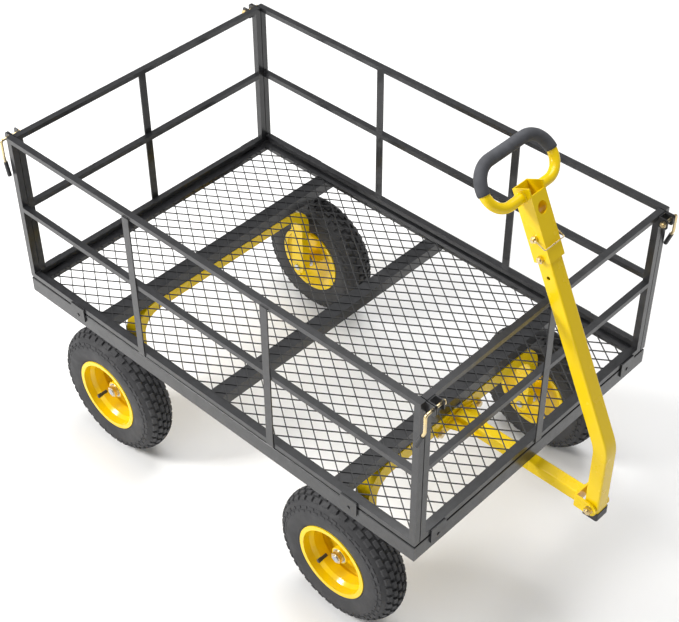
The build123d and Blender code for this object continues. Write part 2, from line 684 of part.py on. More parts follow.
def root_bolts():
    """Two hexagon-head bolts through the root plate into the yoke's front face."""
    front_face = KINGPIN_X + YOKE_DEPTH / 2
    bolts = []
    for side in ENDS:
        plane = Plane((front_face, side * ROOT_BOLT_Y, ROOT_BOLT_Z + 4), z_dir=(1, 0, 0))
        shank = extrude(plane * Circle(4.0), ROOT_PLATE)
        washer = extrude(plane.offset(ROOT_PLATE) * Circle(9.0), 1.6)
        head = extrude(plane.offset(ROOT_PLATE + 1.6) * RegularPolygon(6.5, 6, major_radius=False), 5.5)
        bolts.append(shank + washer + head)
    return bolts


def clevis():
    """U-shaped end of the drawbar that the handle pivots in."""
    half = CLEVIS_WIDTH / 2
    z_range = (PIVOT_Z - CLEVIS_END_RADIUS, PIVOT_Z + CLEVIS_END_RADIUS)
    web = block((CLEVIS_WEB_X, CLEVIS_WEB_X + CLEVIS_WALL), (-half, half), z_range)
    for side in ENDS:
        y_range = (side * half, side * (half - CLEVIS_WALL))
        web += block((CLEVIS_WEB_X, PIVOT_X), y_range, z_range)
        web += rod_y(PIVOT_X, PIVOT_Z, CLEVIS_END_RADIUS, *y_range)
    upright = [edge for edge in web.edges().filter_by(Axis.Z) if edge.center().X < CLEVIS_WEB_X + 0.1]
    web = fillet(upright, 3.0)
    return web - rod_y(PIVOT_X, PIVOT_Z, PIVOT_RADIUS, -half, half)


def pivot_bolt():
    """Carriage bolt through both ears of the clevis."""
    half = CLEVIS_WIDTH / 2
    shank = rod_y(PIVOT_X, PIVOT_Z, PIVOT_RADIUS, -half - 11, half)
    washer = rod_y(PIVOT_X, PIVOT_Z, 9, half, half + 1.5)
    head = rod_y(PIVOT_X, PIVOT_Z, 8, half + 1.5, half + 6.5)
    rim_edge = head.edges().filter_by(GeomType.CIRCLE).sort_by(Axis.Y)[-1]
    return shank + washer + fillet(rim_edge, 3.5)


def pivot_nut():
    half = CLEVIS_WIDTH / 2
    washer = rod_y(PIVOT_X, PIVOT_Z, 9, -half - 1.5, -half)
    nut = hex_y(PIVOT_X, PIVOT_Z, 15, -half - 9.5, -half - 1.5)
    return washer + nut - rod_y(PIVOT_X, PIVOT_Z, PIVOT_RADIUS, -half - 10, -half)


# ---------------------------------------------------------------- handle
def handle_path():
    """Centreline of the bent handle tube: a short upright foot and a long leaning shank."""
    lean = radians(HANDLE_LEAN)
    bend_s = (PIVOT_X - HANDLE_NORMAL * cos(lean)) / -sin(lean)
    bend = handle_point(HANDLE_NORMAL, bend_s)
    top = handle_point(HANDLE_NORMAL, HANDLE_TUBE_END)
    return FilletPolyline((PIVOT_X, 0, HANDLE_BOTTOM_Z), bend, top, radius=90)


def bent_bar(depth, width, rounding):
    path = handle_path()
    section = RectangleRounded(depth, width, rounding)
    return sweep(Plane(path @ 0, x_dir=(1, 0, 0), z_dir=(0, 0, 1)) * section, path=path)


def handle_tube():
    outer = bent_bar(HANDLE_DEPTH, HANDLE_SIZE, 4.0)
    inner = bent_bar(HANDLE_DEPTH - 2 * HANDLE_WALL, HANDLE_SIZE - 2 * HANDLE_WALL, 1.5)
    shape = outer - inner
    shape -= rod_y(PIVOT_X, PIVOT_Z, PIVOT_BORE_RADIUS, -40, 40)
    shape -= handle_rod(HANDLE_NORMAL, STOW_HOLE_S, LOCK_BORE_RADIUS, -40, 40)
    shape -= handle_rod(HANDLE_NORMAL, FLIP_BOLT_S, 4.0, -40, 40)
    shape -= handle_rod(HANDLE_NORMAL, LOCK_PIN_S, LOCK_BORE_RADIUS, -40, 40)
    return shape


def handle_cap():
    """Rubber cap over the handle's foot."""
    half_x = HANDLE_DEPTH / 2
    half_y = HANDLE_SIZE / 2
    outer = block(
        (PIVOT_X - half_x - CAP_WALL, PIVOT_X + half_x + CAP_WALL),
        (-half_y - CAP_WALL, half_y + CAP_WALL),
        (HANDLE_BOTTOM_Z - CAP_FLOOR, CAP_TOP_Z - 6),
    )
    outer = fillet(outer.edges().filter_by(Axis.Z), 4.5)
    inner = Pos(PIVOT_X, 0, HANDLE_BOTTOM_Z) * extrude(RectangleRounded(HANDLE_DEPTH, HANDLE_SIZE, 4.0), 60)
    cap = outer - inner
    return cap - rod_y(PIVOT_X, PIVOT_Z, 10, -40, 40)


def handle_head():
    """Folded hitch head over the top of the handle: front web, two cheeks and a rear wall."""
    half = HEAD_HALF_WIDTH
    inner = half - HEAD_WALL
    web_n = (HEAD_FRONT_N - HEAD_WALL, HEAD_FRONT_N)
    head = handle_block(web_n, (-half, half), (HEAD_BOTTOM_S, HEAD_WEB_TOP_S))
    for side in ENDS:
        cheek_y = (side * inner, side * half)
        head += handle_block((HEAD_REAR_N, HEAD_FRONT_N), cheek_y, (HEAD_BOTTOM_S, HEAD_TOP_S))
    rear_n = (HEAD_REAR_N, HEAD_REAR_N + HEAD_WALL)
    head += handle_block(rear_n, (-half, half), (HEAD_REAR_WALL_BOTTOM_S, HEAD_TOP_S))
    head -= handle_rod(HANDLE_NORMAL, FLIP_BOLT_S, 4.0, -40, 40)
    head -= handle_rod(HANDLE_NORMAL, LOCK_PIN_S, LOCK_BORE_RADIUS, -40, 40)
    x, _, z = handle_point(HEAD_FRONT_N - HEAD_WALL, HITCH_HOLE_S)
    lean = radians(HANDLE_LEAN)
    hole = Plane((x, 0, z), z_dir=(cos(lean), 0, sin(lean)))
    return head - extrude(hole * Circle(HITCH_HOLE_RADIUS), HEAD_WALL)


def loop_plane():
    """Plane of the loop handle: local X is the cart's Y, local Y climbs the loop."""
    x, _, z = handle_point(LOOP_N, LOOP_S)
    lean = radians(HANDLE_LEAN)
    tilt = radians(LOOP_LEAN)
    along = (-sin(lean) * cos(tilt) - cos(lean) * sin(tilt), 0, cos(lean) * cos(tilt) - sin(lean) * sin(tilt))
    normal = (along[2], 0, -along[0])
    return Plane((x, 0, z), x_dir=(0, 1, 0), z_dir=normal)


def half_loop(foam_only=False):
    """Centreline of one side of the loop, from the head's cheek to the middle of the top."""
    flat_end = LOOP_HALF_WIDTH - LOOP_LOWER_BEND
    top_flat = LOOP_HALF_WIDTH - LOOP_UPPER_BEND
    waist = LOOP_HEIGHT - LOOP_UPPER_BEND
    with BuildLine(loop_plane()) as line:
        if not foam_only:
            Line((HEAD_HALF_WIDTH, 0), (flat_end, 0))
            RadiusArc((flat_end, 0), (LOOP_HALF_WIDTH, waist), -LOOP_LOWER_BEND)
        RadiusArc((LOOP_HALF_WIDTH, waist), (top_flat, LOOP_HEIGHT), -LOOP_UPPER_BEND)
        Line((top_flat, LOOP_HEIGHT), (0, LOOP_HEIGHT))
    return line.wire()


def pipe(path, radius):
    return sweep(Plane(path @ 0, z_dir=path % 0) * Circle(radius), path=path)


def loop_handle():
    """Bent round tube welded to both cheeks of the head."""
    path = half_loop()
    half = pipe(path, LOOP_TUBE_RADIUS) - pipe(path, LOOP_TUBE_RADIUS - LOOP_TUBE_WALL)
    return half + mirror_y(half)


def foam_grip():
    """Foam sleeve over the top of the loop and down both of its sides."""
    path = half_loop(foam_only=True)
    half = pipe(path, FOAM_RADIUS) - pipe(path, LOOP_TUBE_RADIUS)
    return half + mirror_y(half)


def flip_bolt():
    """Bolt and nut that the head swings on when it is unpinned."""
    half = HEAD_HALF_WIDTH
    x, _, z = handle_point(HANDLE_NORMAL, FLIP_BOLT_S)
    shank = rod_y(x, z, 4.0, -half - 9, half)
    head = rod_y(x, z, 6.5, half, half + 5)
    head = fillet(head.edges().filter_by(GeomType.CIRCLE).sort_by(Axis.Y)[-1], 2.5)
    nut = hex_y(x, z, 13, -half - 6.5, -half)
    return shank + head + nut


def lock_pin():
    """Quick-release pin with a cross-drilled head at its right end and a drilled tip at its left."""
    reach = HEAD_HALF_WIDTH + 11
    pin = handle_rod(HANDLE_NORMAL, LOCK_PIN_S, LOCK_PIN_RADIUS, -reach, reach)
    collar = handle_rod(HANDLE_NORMAL, LOCK_PIN_S, 7.0, -HEAD_HALF_WIDTH - 5, -HEAD_HALF_WIDTH - RUNNING_GAP)
    pin += collar
    for side in ENDS:
        x, _, z = handle_point(HANDLE_NORMAL, LOCK_PIN_S)
        lean = radians(HANDLE_LEAN)
        start = (x - 10 * cos(lean), side * (reach - 3.2), z - 10 * sin(lean))
        hole = Plane(start, z_dir=(cos(lean), 0, sin(lean)))
        pin -= extrude(hole * Circle(1.35), 20)
    return pin


def lock_bail():
    """Square wire bail that snaps over the front of the head to hold the pin."""
    reach = HEAD_HALF_WIDTH + 11 - 3.2
    front = HEAD_FRONT_N + 3.5
    points = [
        handle_point(HANDLE_NORMAL - 7, LOCK_PIN_S, -reach),
        handle_point(HANDLE_NORMAL + 7, LOCK_PIN_S, -reach),
        handle_point(front, LOCK_PIN_S - 19, -reach),
        handle_point(front, LOCK_PIN_S - 19, reach),
        handle_point(HANDLE_NORMAL + 7, LOCK_PIN_S, reach),
        handle_point(HANDLE_NORMAL - 7, LOCK_PIN_S, reach),
    ]
    path = FilletPolyline(*points, radius=2.2)
    return sweep(Plane(path @ 0, z_dir=path % 0) * Circle(1.25), path=path)


# ---------------------------------------------------------------- build every piece
save("bed_frame", *bed_frame())
save("crossbar_rear", crossbar(-AXLE_X))
save("crossbar_middle", crossbar(0))
kingpin_hole = rod_z(KINGPIN_X, 0, KINGPIN_RADIUS, CROSSBAR_BOTTOM, CROSSBAR_BOTTOM + CROSSBAR_WALL)
save("crossbar_front", crossbar(AXLE_X) - kingpin_hole)
save("deck_mesh", deck_mesh())
save("long_panel_left", *long_panel(1))
save("long_panel_right", *long_panel(-1))
save("short_panel_front", *short_panel(1))
save("short_panel_rear", *short_panel(-1))

for corner, (side_x, side_y) in CORNERS.items():
    save(f"latch_rod_{corner}", latch_rod(side_x, side_y))
    save(f"latch_sleeve_{corner}", latch_sleeve(side_x, side_y))
    save(f"latch_nut_{corner}", latch_nut(side_x, side_y))

wheel_pieces = {"tyre": [tyre()], "rim": [rim()], "hub_bearings": bearings(), "valve": [valve()]}
for corner, (side_x, side_y) in CORNERS.items():
    for piece, shapes in wheel_pieces.items():
        save(f"{piece}_{corner}", *[at_wheel(shape, side_x, side_y) for shape in shapes])

save("rear_yoke", yoke(-1, REAR_YOKE_TOP, REAR_BAR_HEIGHT))
save("front_yoke", front_yoke())
for name, end in (("rear", -1), ("front", 1)):
    save(f"{name}_axles", *[axle(end, side) for side in ENDS])
    save(f"{name}_axle_nuts", *[axle_nut(end, side) for side in ENDS])

save("kingpin", kingpin())
save("kingpin_nut", kingpin_nut())
save("thrust_washer", thrust_washer())
save("drawbar", drawbar_tube())
save("drawbar_root", drawbar_root())
save("drawbar_clevis", clevis())
save("drawbar_bolts", *root_bolts())
save("pivot_bolt", pivot_bolt())
save("pivot_nut", pivot_nut())
save("handle_tube", handle_tube())
save("handle_cap", handle_cap())
save("handle_head", handle_head())
save("loop_handle", loop_handle())
save("foam_grip", foam_grip())
save("flip_bolt", flip_bolt())
save("lock_pin", lock_pin())
save("lock_bail", lock_bail())
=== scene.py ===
# Looks of the garden cart: powder-coated frame, glossy yellow running gear, rubber tyres, foam grip.
# Units are metres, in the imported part's frame: X forward, Y to the left, Z up, ground at Z = 0.
import json
import math
import random

import bmesh
import bpy
from mathutils import Matrix, Vector


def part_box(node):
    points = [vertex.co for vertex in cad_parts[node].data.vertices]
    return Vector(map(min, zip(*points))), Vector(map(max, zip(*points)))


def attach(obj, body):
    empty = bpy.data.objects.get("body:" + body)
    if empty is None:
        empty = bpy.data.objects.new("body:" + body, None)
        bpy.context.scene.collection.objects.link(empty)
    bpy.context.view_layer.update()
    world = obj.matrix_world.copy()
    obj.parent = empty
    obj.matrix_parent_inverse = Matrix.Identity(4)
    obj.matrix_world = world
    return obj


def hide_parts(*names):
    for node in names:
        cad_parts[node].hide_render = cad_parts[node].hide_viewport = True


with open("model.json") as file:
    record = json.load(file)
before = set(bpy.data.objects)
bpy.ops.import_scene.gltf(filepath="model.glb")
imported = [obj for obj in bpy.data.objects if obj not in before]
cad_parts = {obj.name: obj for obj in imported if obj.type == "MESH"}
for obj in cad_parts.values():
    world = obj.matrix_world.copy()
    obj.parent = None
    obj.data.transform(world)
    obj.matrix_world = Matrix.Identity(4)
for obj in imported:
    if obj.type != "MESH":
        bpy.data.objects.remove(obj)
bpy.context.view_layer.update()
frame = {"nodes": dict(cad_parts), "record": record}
NODES = frame["nodes"]
CORNERS = ("front_left", "front_right", "rear_left", "rear_right")
random.seed(7)

# camera, as placed for the picture
CAMERA_PLACE = (1.67998, -1.81788, 2.66846)
CAMERA_AZIMUTH = 43.509
CAMERA_ELEVATION = 41.838
CAMERA_ROLL = -0.340
CAMERA_LENS = 79.19
SENSOR_WIDTH = 36.0

# colours, linear
CHARCOAL = (0.0085, 0.0087, 0.0097)
CHARCOAL_WORN = (0.022, 0.0225, 0.025)
YELLOW = (0.900, 0.630, 0.001)
YELLOW_DEEP = (0.860, 0.570, 0.001)
TYRE_BLACK = (0.030, 0.030, 0.033)
TYRE_DUST = (0.062, 0.062, 0.064)
ZINC_GOLD = (0.780, 0.600, 0.300)
ZINC_GREY = (0.560, 0.560, 0.540)
FOAM_GREY = (0.055, 0.057, 0.064)
VINYL_GREY = (0.018, 0.018, 0.020)
FLOOR_WHITE = (0.93, 0.93, 0.93)
FLOOR_HALF = 30.0

BEVEL = 0.0006
BEVEL_ANGLE = math.radians(40)
HEAVY_BEAD = 0.0022  # weld beads' half widths
MEDIUM_BEAD = 0.0018
POST_BEAD = 0.0016
STRAP_BEAD = 0.0014


# ---------------------------------------------------------------- shader helpers
class Shader:
    """A Principled material with a few short ways to add texture nodes."""

    def __init__(self, name):
        self.material = bpy.data.materials.new(name)
        self.material.use_nodes = True
        self.tree = self.material.node_tree
        self.bsdf = self.tree.nodes["Principled BSDF"]
        coordinates = self.tree.nodes.new("ShaderNodeTexCoord")
        self.place = coordinates.outputs["Object"]

    def link(self, a, b):
        self.tree.links.new(a, b)

    def noise(self, scale, detail=4.0, roughness=0.55, stretch=None):
        node = self.tree.nodes.new("ShaderNodeTexNoise")
        node.inputs["Scale"].default_value = scale
        node.inputs["Detail"].default_value = detail
        node.inputs["Roughness"].default_value = roughness
        source = self.place
        if stretch:
            mapping = self.tree.nodes.new("ShaderNodeMapping")
            mapping.inputs["Scale"].default_value = stretch
            self.link(self.place, mapping.inputs["Vector"])
            source = mapping.outputs["Vector"]
        self.link(source, node.inputs["Vector"])
        return node.outputs["Fac"]

    def voronoi(self, scale):
        node = self.tree.nodes.new("ShaderNodeTexVoronoi")
        node.inputs["Scale"].default_value = scale
        self.link(self.place, node.inputs["Vector"])
        return node.outputs["Distance"]

    def span(self, value, low, high, to_low=0.0, to_high=1.0):
        """Map a value from one range to another, clamped."""
        node = self.tree.nodes.new("ShaderNodeMapRange")
        node.inputs["From Min"].default_value = low
        node.inputs["From Max"].default_value = high
        node.inputs["To Min"].default_value = to_low
        node.inputs["To Max"].default_value = to_high
        self.link(value, node.inputs["Value"])
        return node.outputs["Result"]

    def mix(self, factor, first, second):
        """Blend two colours, each a tuple or a socket."""
        node = self.tree.nodes.new("ShaderNodeMix")
        node.data_type = "RGBA"
        for value, socket in ((factor, node.inputs[0]), (first, node.inputs[6]), (second, node.inputs[7])):
            if isinstance(value, tuple):
                socket.default_value = (*value, 1.0)
            elif isinstance(value, float):
                socket.default_value = value
            else:
                self.link(value, socket)
        return node.outputs[2]

    def multiply(self, first, second):
        node = self.tree.nodes.new("ShaderNodeMath")
        node.operation = "MULTIPLY"
        for value, socket in ((first, node.inputs[0]), (second, node.inputs[1])):
            if isinstance(value, float):
                socket.default_value = value
            else:
                self.link(value, socket)
        return node.outputs[0]

    def height(self, node_output="Z"):
        """One coordinate of the point, such as its height above the ground."""
        split = self.tree.nodes.new("ShaderNodeSeparateXYZ")
        self.link(self.place, split.inputs[0])
        return split.outputs[node_output]

    def edges(self, low=0.50, high=0.62):
        """Share of wear on raised edges."""
        geometry = self.tree.nodes.new("ShaderNodeNewGeometry")
        return self.span(geometry.outputs["Pointiness"], low, high)

    def bump(self, value, strength, distance):
        node = self.tree.nodes.new("ShaderNodeBump")
        node.inputs["Strength"].default_value = strength
        node.inputs["Distance"].default_value = distance
        self.link(value, node.inputs["Height"])
        self.link(node.outputs["Normal"], self.bsdf.inputs["Normal"])

    def colour(self, value):
        self.link(value, self.bsdf.inputs["Base Color"])

    def rough(self, value):
        if isinstance(value, float):
            self.bsdf.inputs["Roughness"].default_value = value
        else:
            self.link(value, self.bsdf.inputs["Roughness"])

    def set(self, **values):
        for name, value in values.items():
            self.bsdf.inputs[name.replace("_", " ")].default_value = value


# ---------------------------------------------------------------- materials
def charcoal_paint():
    """Fine-textured powder coat, a little paler where it is rubbed."""
    s = Shader("charcoal_paint")
    patches = s.span(s.noise(9.0), 0.35, 0.70, 0.0, 0.25)
    base = s.mix(patches, CHARCOAL, tuple(c * 1.18 for c in CHARCOAL))
    rubbed = s.multiply(s.edges(0.51, 0.58), s.span(s.noise(60.0), 0.35, 0.65, 0.2, 0.8))
    s.colour(s.mix(rubbed, base, CHARCOAL_WORN))
    s.rough(s.span(s.noise(35.0), 0.3, 0.7, 0.34, 0.44))
    s.set(Coat_Weight=0.55, Coat_Roughness=0.10, Specular_IOR_Level=0.30)
    s.bump(s.noise(1400.0, 2.0), 0.22, 0.0004)
    return s.material


def charcoal_mesh():
    """The deck's coat: the same powder, scuffed along the strands by what has lain on it."""
    s = Shader("charcoal_mesh")
    scuffs = s.span(s.noise(28.0, 5.0, 0.65), 0.50, 0.78, 0.0, 0.6)
    s.colour(s.mix(scuffs, CHARCOAL, CHARCOAL_WORN))
    s.rough(s.span(s.noise(50.0), 0.3, 0.7, 0.40, 0.58))
    s.bump(s.noise(900.0, 2.0), 0.20, 0.0004)
    return s.material


def yellow_paint(name="yellow_paint", gloss=0.20):
    """Glossy enamel with a slight orange peel, darker and browner in patches towards the bottom."""
    s = Shader(name)
    tone = s.span(s.noise(4.0), 0.3, 0.7, 0.0, 0.35)
    base = s.mix(tone, YELLOW, YELLOW_DEEP)
    # darker, browner patches that grow stronger from 0.36 m above the ground down to 0.05 m
    low = s.span(s.height(), 0.36, 0.05, 0.0, 0.35)
    tint_patches = s.multiply(low, s.span(s.noise(22.0, 6.0, 0.7), 0.42, 0.75))
    s.colour(s.mix(tint_patches, base, (0.42, 0.30, 0.10)))
    s.rough(s.span(s.noise(16.0), 0.3, 0.7, gloss, gloss + 0.10))
    s.set(Coat_Weight=0.12, Coat_Roughness=0.08, Specular_IOR_Level=0.35)
    s.bump(s.noise(420.0, 2.0), 0.10, 0.0003)
    return s.material


def tyre_rubber():
    """Black rubber, greyed by dust in patches and between the lugs."""
    s = Shader("tyre_rubber")
    tint_patches = s.span(s.noise(9.0, 6.0, 0.65), 0.30, 0.80, 0.2, 0.9)
    s.colour(s.mix(tint_patches, TYRE_BLACK, TYRE_DUST))
    s.rough(s.span(s.noise(40.0), 0.3, 0.7, 0.55, 0.78))
    s.set(Specular_IOR_Level=0.35)
    s.bump(s.noise(650.0, 3.0), 0.18, 0.0005)
    return s.material


def zinc(name, tint, rough):
    """Plated steel with a faint rainbow in the plating."""
    s = Shader(name)
    cool = tuple(c * k for c, k in zip(tint, (0.86, 0.95, 1.25)))
    s.colour(s.mix(s.span(s.noise(90.0), 0.35, 0.65), tint, cool))
    s.rough(s.span(s.noise(160.0), 0.3, 0.7, rough, rough + 0.14))
    s.set(Metallic=1.0)
    s.bump(s.noise(900.0, 2.0), 0.10, 0.0002)
    return s.material


def rubbery(name, tint, rough, grain, depth):
    """Vinyl, rubber or foam: one colour broken up by its grain."""
    s = Shader(name)
    paler = tuple(c * 1.5 for c in tint)
    s.colour(s.mix(s.span(s.noise(30.0, 5.0), 0.4, 0.75), tint, paler))
    s.rough(s.span(s.noise(80.0), 0.3, 0.7, rough - 0.06, rough + 0.06))
    s.bump(s.voronoi(grain), 0.35, depth)
    return s.material


def floor_white():
    s = Shader("floor_white")
    greyer = tuple(c * 0.985 for c in FLOOR_WHITE)
    s.colour(s.mix(s.span(s.noise(1.5), 0.3, 0.7, 0.0, 0.3), FLOOR_WHITE, greyer))
    s.rough(0.75)
    return s.material


MATERIALS = {
    "charcoal_paint": charcoal_paint(),
    "charcoal_mesh": charcoal_mesh(),
    "yellow_paint": yellow_paint(),
    "yellow_rim": yellow_paint("yellow_rim", 0.16),
    "tyre_rubber": tyre_rubber(),
    "bearing_steel": zinc("bearing_steel", ZINC_GREY, 0.25),
    "valve_rubber": rubbery("valve_rubber", TYRE_BLACK, 0.50, 900.0, 0.0002),
    "plated_steel": zinc("plated_steel", ZINC_GOLD, 0.22),
    "axle_steel": zinc("axle_steel", ZINC_GREY, 0.34),
    "black_vinyl": rubbery("black_vinyl", VINYL_GREY, 0.42, 1200.0, 0.0001),
    "cap_rubber": rubbery("cap_rubber", VINYL_GREY, 0.50, 900.0, 0.0002),
    "grip_foam": rubbery("grip_foam", FOAM_GREY, 0.82, 1500.0, 0.0004),
}


def dress_nodes():
    """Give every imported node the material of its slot, and break its sharp edges."""
    for part in frame["record"]["subparts"]:
        node = NODES[part["node"]]
        node.data.materials.clear()
        node.data.materials.append(MATERIALS[part["material_slot"]])
        if part["node"] == "deck_mesh":
            continue
        bevel = node.modifiers.new("broken_edges", "BEVEL")
        bevel.width = BEVEL
        bevel.segments = 2
        bevel.limit_method = "ANGLE"
        bevel.angle_limit = BEVEL_ANGLE
        bevel.harden_normals = False
        bevel.use_clamp_overlap = True


# ---------------------------------------------------------------- mesh helpers
def new_piece(name, mesh, material_slot, body):
    piece = bpy.data.objects.new(name, mesh)
    bpy.context.scene.collection.objects.link(piece)
    mesh.materials.append(MATERIALS[material_slot])
    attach(piece, body)
    return piece


def smooth(mesh):
    for face in mesh.polygons:
        face.use_smooth = True


def weld_bead(mesh, points, radius, closed=False):
    """Add a rippled bead along a line of points, as a row of flattened, overlapping domes."""
    count = len(points)
    spans = count if closed else count - 1
    for index in range(spans):
        start = points[index]
        end = points[(index + 1) % count]
        length = (end - start).length
        steps = max(1, round(length / (radius * 0.9)))
        for step in range(steps):
            centre = start.lerp(end, (step + 0.5) / steps)
            size = radius * random.uniform(0.88, 1.10)
            turn = (end - start).to_track_quat("X", "Z").to_matrix().to_4x4()
            shape = Matrix.Translation(centre) @ turn @ Matrix.Diagonal((size * 0.8, size, size, 1.0))
            bmesh.ops.create_icosphere(mesh, subdivisions=2, radius=1.0, matrix=shape)


def welds(name, lines, body, material_slot, radius=HEAVY_BEAD):
    """One piece holding several beads, each a list of points."""
    bm = bmesh.new()
    for line in lines:
        weld_bead(bm, [Vector(point) for point in line], radius)
    mesh = bpy.data.meshes.new(name)
    bm.to_mesh(mesh)
    bm.free()
    smooth(mesh)
    return new_piece(name, mesh, material_slot, body)


# ---------------------------------------------------------------- tyres
TYRE_RADIUS = 0.165
CROWN_RADIUS = 0.1588
SHOULDER_RADIUS = 0.1435
SHOULDER_HALF = 0.0375
WALL_HALF = 0.0418
BEAD_LIP = 0.0930
BEAD_SEAT = 0.0845
BEAD_HALF = 0.0322
TURN_STEPS = 144
LUGS_ROUND = 40
BLOCK_ROWS = (0.0000, 0.0122, 0.0246)
BLOCK_HALF = 0.0050
WALL_RIBS = (0.0975, 0.1255)
WALL_BLOCK_RADII = ((0.1290, 0.1355), (0.1372, 0.1445))


def crown_height(offset):
    """Radius of the tread's base at a distance from the wheel's mid-plane."""
    share = min(1.0, abs(offset) / SHOULDER_HALF)
    return CROWN_RADIUS - (CROWN_RADIUS - SHOULDER_RADIUS) * share ** 2.1


def wall_offset(radius):
    """Half width of the sidewall at a radius, with a few moulded ribs."""
    share = (radius - BEAD_LIP) / (SHOULDER_RADIUS - BEAD_LIP)
    bulge = math.sin(math.pi * min(1.0, 0.08 + 0.78 * share)) ** 0.55
    base = BEAD_HALF + (WALL_HALF - BEAD_HALF) * bulge
    base += (SHOULDER_HALF - base) * max(0.0, share - 0.72) / 0.28
    rib = sum(0.0007 * math.exp(-((radius - at) / 0.0009) ** 2) for at in WALL_RIBS)
    return min(base + rib, WALL_HALF)


def tyre_profile():
    """Closed section from the inner bead, over one wall, the crown and the other wall."""
    wall_steps = 44
    crown_steps = 16
    radii = [BEAD_LIP + (SHOULDER_RADIUS - BEAD_LIP) * i / wall_steps for i in range(wall_steps + 1)]
    wall = [(radius, wall_offset(radius)) for radius in radii]
    crown = []
    for step in range(1, crown_steps):
        offset = SHOULDER_HALF * (1 - 2 * step / crown_steps)
        crown.append((crown_height(offset), offset))
    mirrored = [(radius, -offset) for radius, offset in reversed(wall)]
    return [(BEAD_SEAT, BEAD_HALF), *wall, *crown, *mirrored, (BEAD_SEAT, -BEAD_HALF)]


def around(radius, angle, offset):
    """Point at a radius and angle about the wheel's axis, and a distance from its mid-plane."""
    return Vector((radius * math.cos(angle), offset, radius * math.sin(angle)))


def add_lug(bm, angle, arc, offset_low, offset_high, skew, lift):
    """One tread block that follows the crown, with drawn-in top edges."""
    draw = 0.0011
    rows = []
    for raised in (False, True):
        inset = draw if raised else 0.0
        ring = []
        for along, across in ((-1, -1), (1, -1), (1, 1), (-1, 1)):
            offset = (offset_low + inset) if across < 0 else (offset_high - inset)
            middle = (offset_low + offset_high) / 2
            swing = skew * (offset - middle) / 0.01
            turn = angle + along * (arc / 2 - inset / CROWN_RADIUS) + swing
            radius = crown_height(offset) + (lift if raised else -0.003)
            ring.append(bm.verts.new(around(min(radius, TYRE_RADIUS), turn, offset)))
        rows.append(ring)
    low, high = rows
    bm.faces.new(high)
    bm.faces.new(list(reversed(low)))
    for i in range(4):
        j = (i + 1) % 4
        bm.faces.new((low[i], low[j], high[j], high[i]))


def tread(bm):
    """Rows of small square blocks across the crown, each row half a pitch round from the next."""
    pitch = 2 * math.pi / LUGS_ROUND
    for row, middle in enumerate(BLOCK_ROWS):
        lift = 0.0060 - 0.0003 * row
        for side in (1, -1):
            if row == 0 and side < 0:
                continue
            for index in range(LUGS_ROUND):
                angle = (index + 0.5 * (row % 2)) * pitch
                offset = side * middle
                add_lug(bm, angle, pitch * 0.72, offset - BLOCK_HALF, offset + BLOCK_HALF, 0.0, lift)


def shoulder_blocks(bm):
    """Two rows of small blocks that carry the tread down onto each sidewall."""
    pitch = 2 * math.pi / LUGS_ROUND
    for side in (1, -1):
        for row, (inner, outer) in enumerate(WALL_BLOCK_RADII):
            for index in range(LUGS_ROUND):
                angle = (index + 0.5 * (row % 2)) * pitch
                add_wall_block(bm, side, angle, pitch * 0.36, inner, outer)


def add_wall_block(bm, side, angle, half_turn, inner, outer):
    """One low block on a sidewall, between two radii, with drawn-in top edges."""
    ring = []
    for lift, draw in ((-0.0020, 0.0), (0.0018, 0.0006)):
        low_radius = inner + draw
        high_radius = outer - draw
        for radius, sign in ((low_radius, -1), (high_radius, -1), (high_radius, 1), (low_radius, 1)):
            half = min(wall_offset(radius) + lift, WALL_HALF)
            turn = angle + sign * (half_turn - draw / radius)
            ring.append(bm.verts.new(around(radius, turn, side * half)))
    low, high = ring[:4], ring[4:]
    bm.faces.new(high)
    bm.faces.new(low)
    for i in range(4):
        j = (i + 1) % 4
        bm.faces.new((low[i], low[j], high[j], high[i]))


def tyre_mesh():
    """Carcass turned about the axle, plus its tread."""
    bm = bmesh.new()
    profile = tyre_profile()
    rings = []
    for step in range(TURN_STEPS):
        angle = 2 * math.pi * step / TURN_STEPS
        rings.append([bm.verts.new(around(radius, angle, offset)) for radius, offset in profile])
    size = len(profile)
    for step in range(TURN_STEPS):
        ring = rings[step]
        after = rings[(step + 1) % TURN_STEPS]
        for i in range(size):
            j = (i + 1) % size
            face = bm.faces.new((ring[i], ring[j], after[j], after[i]))
            face.smooth = True
    tread(bm)
    shoulder_blocks(bm)
    bmesh.ops.recalc_face_normals(bm, faces=bm.faces)
    mesh = bpy.data.meshes.new("tyre")
    bm.to_mesh(mesh)
    bm.free()
    return mesh


def tyres():
    for corner in CORNERS:
        node = f"tyre_{corner}"
        low_corner, high_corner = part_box(node)
        mesh = tyre_mesh()
        flip = Matrix.Rotation(random.uniform(0, 1), 4, "Y")
        mesh.transform(Matrix.Translation((low_corner + high_corner) / 2) @ flip)
        piece = new_piece(f"tread_{corner}", mesh, "tyre_rubber", f"wheel_{corner}")
        bevel = piece.modifiers.new("lug_edges", "BEVEL")
        bevel.width = 0.0006
        bevel.segments = 2
        bevel.limit_method = "ANGLE"
        bevel.angle_limit = math.radians(35)
        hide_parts(node)


# ---------------------------------------------------------------- foam grip
LOOP_START = Vector((0.4340, 0.0, 1.0080))
LOOP_TILT = math.radians(25.2 + 15.3)
LOOP_UP = Vector((-math.sin(LOOP_TILT), 0.0, math.cos(LOOP_TILT)))
LOOP_HEIGHT = 0.092
LOOP_HALF_WIDTH = 0.0984
LOOP_BEND = 0.049
LOOP_TUBE = 0.0105
FOAM_RADIUS = 0.0127


